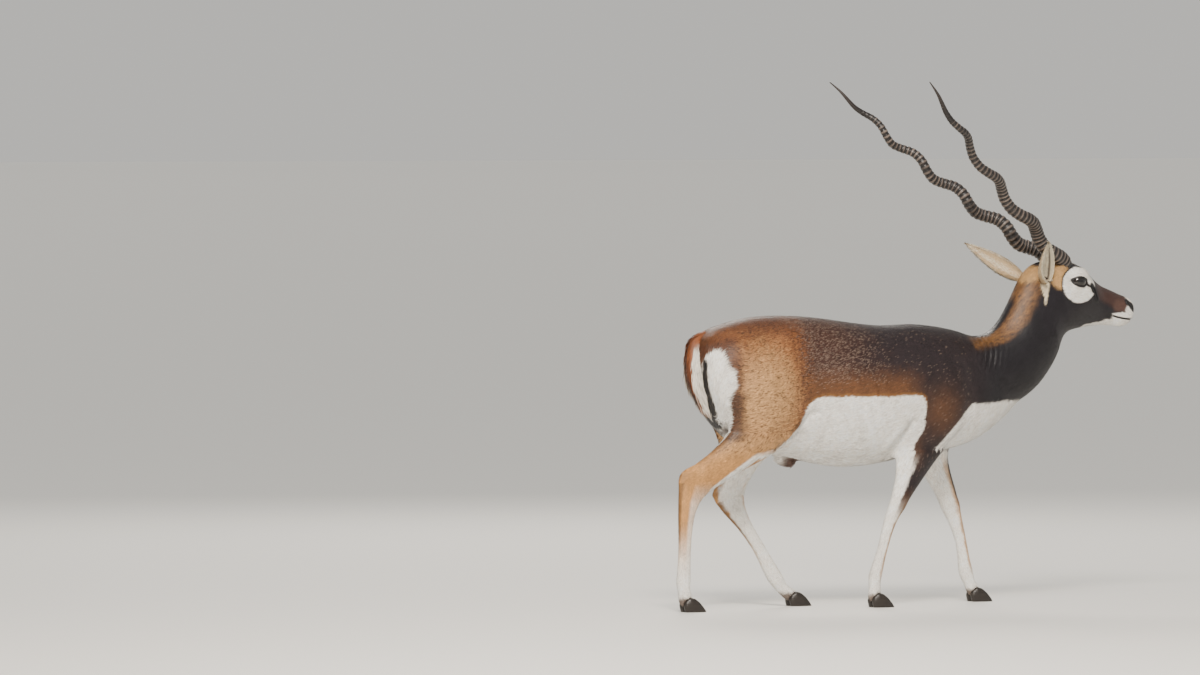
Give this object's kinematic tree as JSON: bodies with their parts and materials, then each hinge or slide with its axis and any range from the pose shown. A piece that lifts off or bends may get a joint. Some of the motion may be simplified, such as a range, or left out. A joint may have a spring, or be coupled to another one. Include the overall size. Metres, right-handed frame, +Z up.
{
  "type": "blackbuck",
  "caption": "Life-size still model of a walking male blackbuck antelope with long ringed spiral horns, standing on its own hooves.",
  "frame": {"origin": "on the ground, under the middle of the whole animal's box", "axes": "+X the way the animal walks, +Y its left side, +Z up"},
  "size_m": [1.4226, 0.499, 1.389],
  "materials": {
    "coat": "short, flat, lightly glossy hair in dark brown, tan and white",
    "ear_coat": "fine cream and tan hair",
    "eye": "wet, dark brown",
    "horn": "ringed keratin, satin, paler on the crests",
    "hoof": "dark keratin, satin"
  },
  "bodies": {
    "root": {"torso": "coat", "neck": "coat", "head": "coat", "tail": "coat", "ear_left": "ear_coat", "ear_right": "ear_coat", "eye_left": "eye", "eye_right": "eye", "horn_left": "horn", "horn_right": "horn", "foreleg_left": "coat", "foreleg_right": "coat", "hindleg_left": "coat", "hindleg_right": "coat", "hoof_fore_left_inner": "hoof", "hoof_fore_left_outer": "hoof", "hoof_fore_right_inner": "hoof", "hoof_fore_right_outer": "hoof", "hoof_hind_left_inner": "hoof", "hoof_hind_left_outer": "hoof", "hoof_hind_right_inner": "hoof", "hoof_hind_right_outer": "hoof"}
  },
  "joints": []
}
